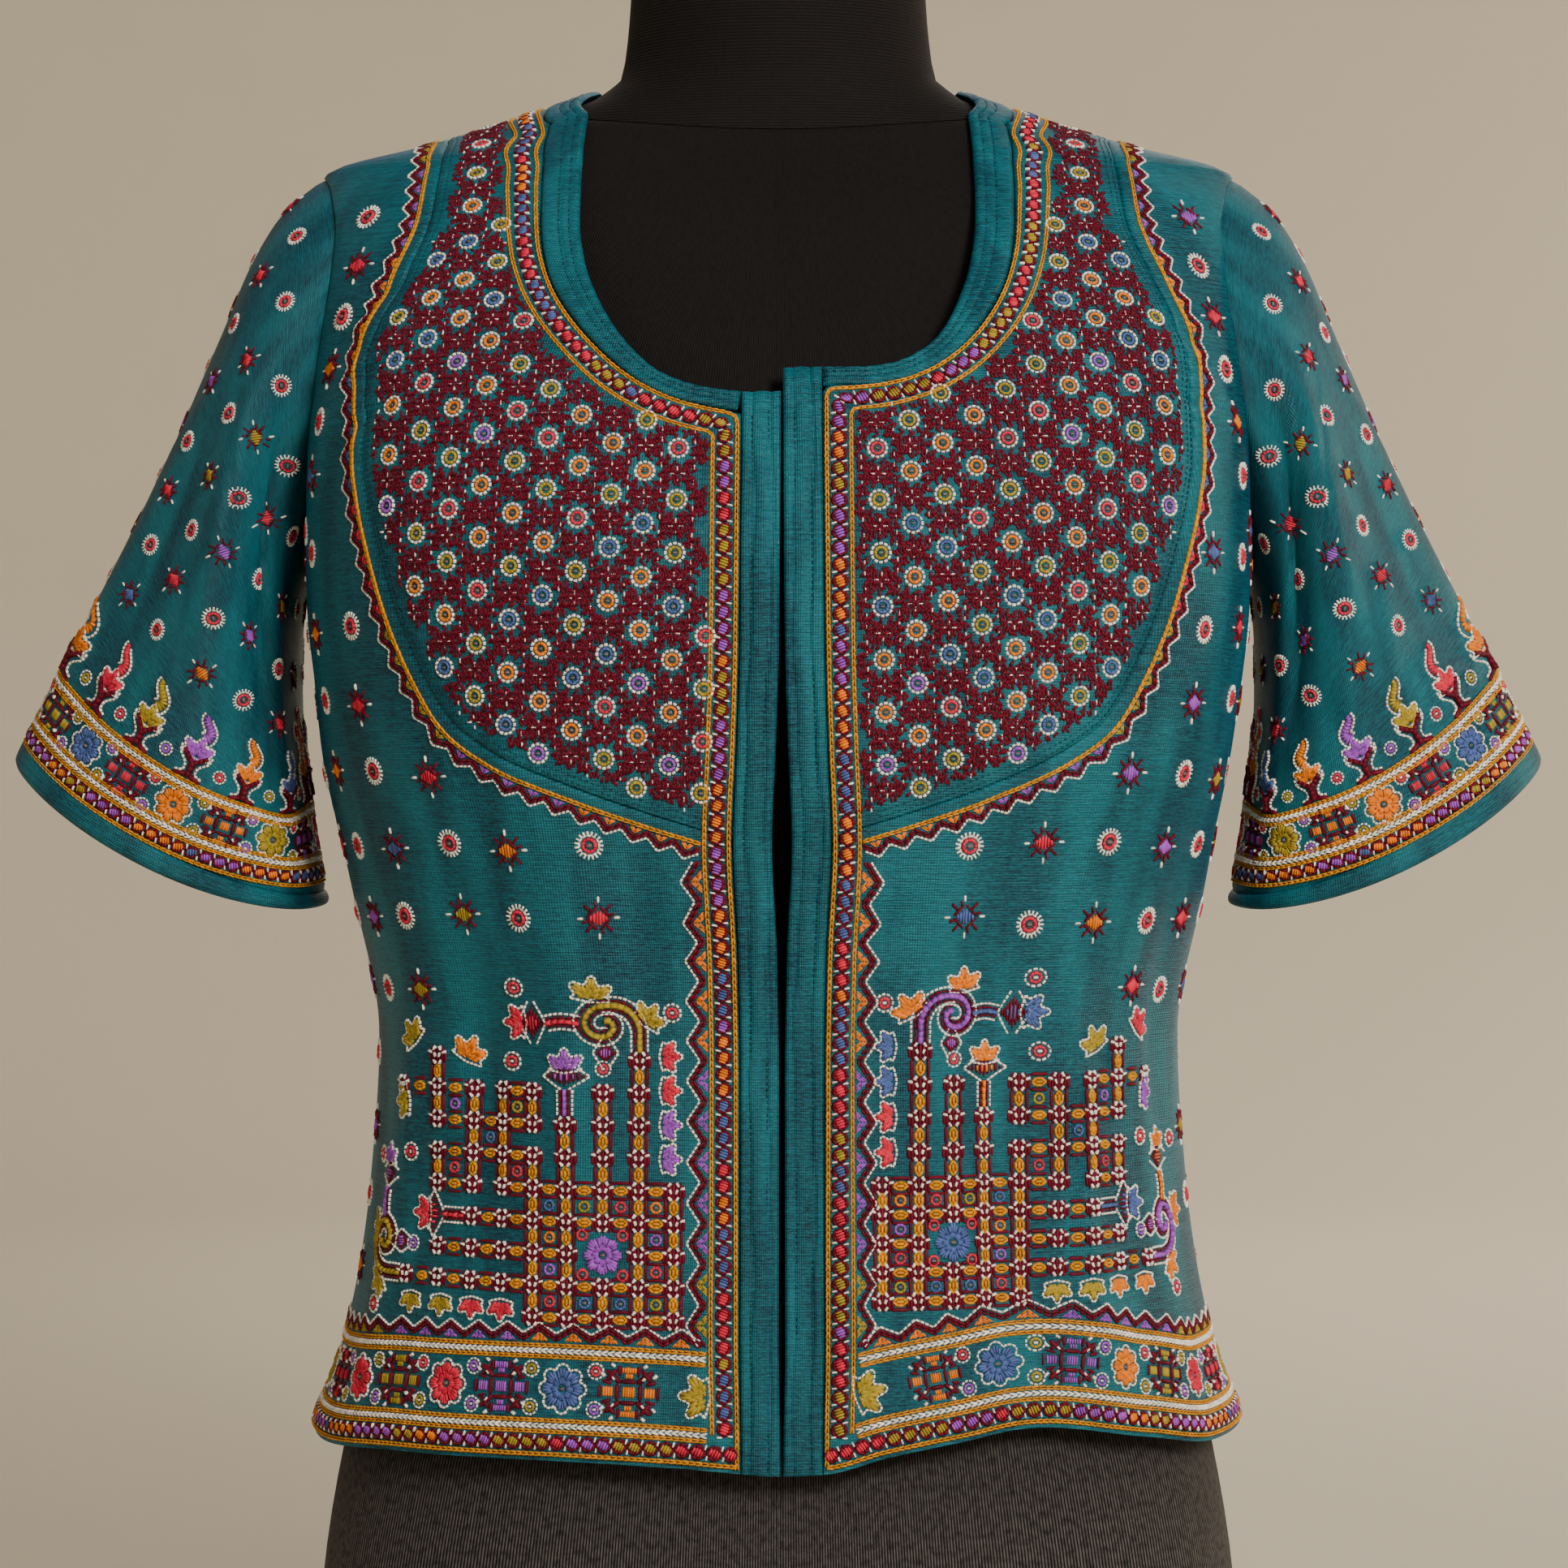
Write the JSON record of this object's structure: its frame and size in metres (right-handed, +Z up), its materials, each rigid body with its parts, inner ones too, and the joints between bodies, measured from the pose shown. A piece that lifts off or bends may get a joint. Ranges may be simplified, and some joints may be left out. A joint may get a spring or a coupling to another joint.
{
  "type": "choli blouse on dress form",
  "caption": "Embroidered short-sleeved choli blouse with a round neck and an open front, worn by a limbless dress form that stands on its flat underside.",
  "frame": {"origin": "centre of the dress form's flat underside, on the floor", "axes": "+Z up, the blouse's front faces -Y, its right side is at -X"},
  "size_m": [0.624, 0.271, 0.805],
  "materials": {
    "teal_silk": "slubbed shot silk, teal with a blue cast at a slant",
    "teal_silk_bands": "the same silk, folded and stitched into plain bands",
    "black_jersey": "fine ribbed stretch jersey, brownish black"
  },
  "bodies": {
    "root": {"back_panel": "teal_silk", "front_right": "teal_silk", "front_left": "teal_silk", "chest_right": "teal_silk", "chest_left": "teal_silk", "sleeve_right": "teal_silk", "sleeve_left": "teal_silk", "neck_band": "teal_silk_bands", "placket_right": "teal_silk_bands", "placket_left": "teal_silk_bands", "cuff_right": "teal_silk_bands", "cuff_left": "teal_silk_bands", "form_body": "black_jersey", "form_neck": "black_jersey"}
  },
  "joints": []
}
